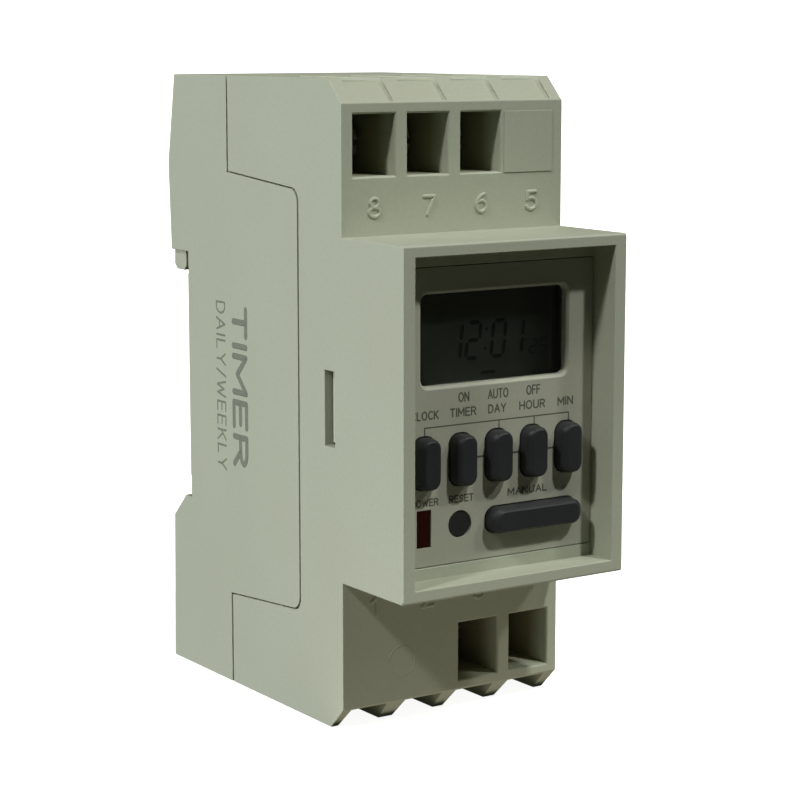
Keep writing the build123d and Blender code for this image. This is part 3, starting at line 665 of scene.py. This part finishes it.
# ---------------------------------------------------------------- display
def plate(bm, corners, y, thick):
    """A thin closed plate with an (x, z) outline whose front is at y - thick."""
    back = [bm.verts.new(Vector((x, y, z)) * MM) for x, z in corners]
    front = [bm.verts.new(Vector((x, y - thick, z)) * MM) for x, z in corners]
    bm.faces.new(back)
    bm.faces.new(front)
    for i in range(len(corners)):
        k = (i + 1) % len(corners)
        bm.faces.new((back[i], back[k], front[k], front[i]))


SEGMENTS = {"0": "abcdef", "1": "bc", "2": "abged", "5": "afgcd"}


def digit(bm, text, x, z, w, h, t, slant=0.096):
    """Seven-segment figure with its lower left corner at (x, z)."""
    g = 0.09 * t / 0.5
    m = h / 2
    bars = {
        "a": ((0, h), (w, h)), "d": ((0, 0), (w, 0)), "g": ((0, m), (w, m)),
        "f": ((0, m), (0, h)), "b": ((w, m), (w, h)), "e": ((0, 0), (0, m)), "c": ((w, 0), (w, m)),
    }
    for key in SEGMENTS[text]:
        (ax, az), (bx, bz) = bars[key]
        a, b = Vector((ax, az)), Vector((bx, bz))
        d = (b - a).normalized()
        n = Vector((-d.y, d.x))
        a, b = a + d * g, b - d * g
        q = t / 2
        outline = [a, a + (d + n) * q, b + (n - d) * q, b, b - (d + n) * q, a + (d - n) * q]
        plate(bm, [(x + p.x + slant * p.y, z + p.y) for p in outline], CELL_FACE, SEGMENT_RISE)


bm = bmesh.new()
digit(bm, "1", -6.35, 6.85, 1.95, 4.6, 0.56)
digit(bm, "2", -3.45, 6.85, 1.95, 4.6, 0.56)
digit(bm, "0", 0.55, 6.85, 1.95, 4.6, 0.56)
digit(bm, "1", 3.45, 6.85, 1.95, 4.6, 0.56)
digit(bm, "2", 6.75, 6.8, 1.0, 1.85, 0.28)
digit(bm, "5", 8.4, 6.8, 1.0, 1.85, 0.28)
for cx, cz in ((-0.42, 8.0), (-0.18, 10.5)):
    dot = [(cx - 0.2, cz - 0.2), (cx + 0.16, cz - 0.2), (cx + 0.2, cz + 0.2), (cx - 0.16, cz + 0.2)]
    plate(bm, dot, CELL_FACE, SEGMENT_RISE)
plate(bm, [(-1.1, 4.62), (1.3, 4.62), (1.1, 5.1), (-0.9, 5.1)], CELL_FACE, SEGMENT_RISE)
piece("lcd_segments", bm, SEGMENT_INK, smooth=False)


# ---------------------------------------------------------------- stage, light and camera
def sun(name, toward, strength, angle, colour=(1.0, 1.0, 1.0)):
    data = bpy.data.lights.new(name, "SUN")
    data.energy = strength
    data.color = colour
    data.angle = math.radians(angle)
    lamp = bpy.data.objects.new(name, data)
    lamp.rotation_euler = Vector(toward).to_track_quat("Z", "Y").to_euler()
    bpy.context.scene.collection.objects.link(lamp)


def set_piece(name, bm, material, place=(0.0, 0.0, 0.0)):
    """Part of the studio: seen by the camera, without throwing light or shade on the object."""
    mesh = bpy.data.meshes.new(name)
    bm.to_mesh(mesh)
    bm.free()
    mesh.materials.append(material)
    made = bpy.data.objects.new(name, mesh)
    made.location = place
    made.visible_diffuse = False
    made.visible_glossy = False
    made.visible_transmission = False
    made.visible_shadow = False
    bpy.context.scene.collection.objects.link(made)


def paper(name, glow):
    """Matt white paper, lit by its own glow as well as by the lamps."""
    look = Look(name, Roughness=0.9)
    look.shader.inputs["Specular IOR Level"].default_value = 0.0
    look.shader.inputs["Emission Color"].default_value = (1, 1, 1, 1)
    look.shader.inputs["Emission Strength"].default_value = glow
    fibre = look.noise(1.5, 3.0, 0.6)
    return look.finish(look.mix(look.spread(fibre, 0, 1), (0.86, 0.86, 0.86, 1), (0.90, 0.90, 0.90, 1)))


FLOOR_GAP = 0.02 * MM
bm = bmesh.new()
bmesh.ops.create_grid(bm, x_segments=8, y_segments=8, size=6.0)
set_piece("floor", bm, paper("paper_floor", 0.92), (0.0, 0.0, CAD_LOW.z - FLOOR_GAP))
bm = bmesh.new()
bmesh.ops.create_uvsphere(bm, u_segments=48, v_segments=24, radius=5.5)
set_piece("backdrop", bm, paper("paper_backdrop", 1.0))

sun("sun_key", (0.40, -1.0, 1.45), 1.43, 4.0, (1.0, 0.99, 0.98))
sun("sun_second", (1.30, -1.0, 1.50), 0.69, 5.0, (1.0, 0.98, 0.87))
sun("sun_side", (-1.0, -0.30, 1.05), 1.34, 5.0, (1.0, 0.955, 0.935))
sun("sun_left", (-1.0, 0.25, 0.10), 1.91, 12.0, (0.957, 0.98, 1.0))
FILL_BELOW = 0.034
FILL_ABOVE = 0.004

# light that the table in front of the object throws back
card_data = bpy.data.lights.new("table_bounce", "AREA")
card_data.shape = "RECTANGLE"
card_data.size = 110 * MM
card_data.size_y = 46 * MM
card_data.energy = 0.0064
card_data.color = (1.0, 0.91, 0.75)
card = bpy.data.objects.new("table_bounce", card_data)
card.location = (-5 * MM, CAD_LOW.y - 7 * MM, CAD_LOW.z + 0.5 * MM)
card.rotation_euler = (math.pi, 0.0, 0.0)
card.visible_camera = False
bpy.context.scene.collection.objects.link(card)

world = bpy.data.worlds.new("studio")
world.use_nodes = True
tree = world.node_tree
around = tree.nodes.new("ShaderNodeTexCoord").outputs["Generated"]
height = tree.nodes.new("ShaderNodeSeparateXYZ")
fill = tree.nodes.new("ShaderNodeMapRange")
fill.inputs["From Min"].default_value = -0.3
fill.inputs["From Max"].default_value = 0.2
fill.inputs["To Min"].default_value = FILL_BELOW
fill.inputs["To Max"].default_value = FILL_ABOVE
tree.links.new(around, height.inputs["Vector"])
tree.links.new(height.outputs["Z"], fill.inputs["Value"])
tree.links.new(fill.outputs["Result"], tree.nodes["Background"].inputs["Strength"])
tree.nodes["Background"].inputs["Color"].default_value = (0.97, 1.0, 0.75, 1)
bpy.context.scene.world = world
bpy.context.scene.view_settings.view_transform = "Standard"

camera_data = bpy.data.cameras.new("camera")
camera_data.sensor_width = 36.0
camera_data.lens = 101.6
camera_data.clip_start = 0.01
camera = bpy.data.objects.new("camera", camera_data)
camera.location = (-0.1700, -0.2823, 0.0473)
azimuth, pitch = math.radians(33.77), math.radians(9.07)
level = Vector((math.sin(azimuth), math.cos(azimuth), 0.0))
forward = level * math.cos(pitch) - Vector((0.0, 0.0, math.sin(pitch)))
camera.rotation_euler = forward.to_track_quat("-Z", "Y").to_euler()
bpy.context.scene.collection.objects.link(camera)
bpy.context.scene.camera = camera
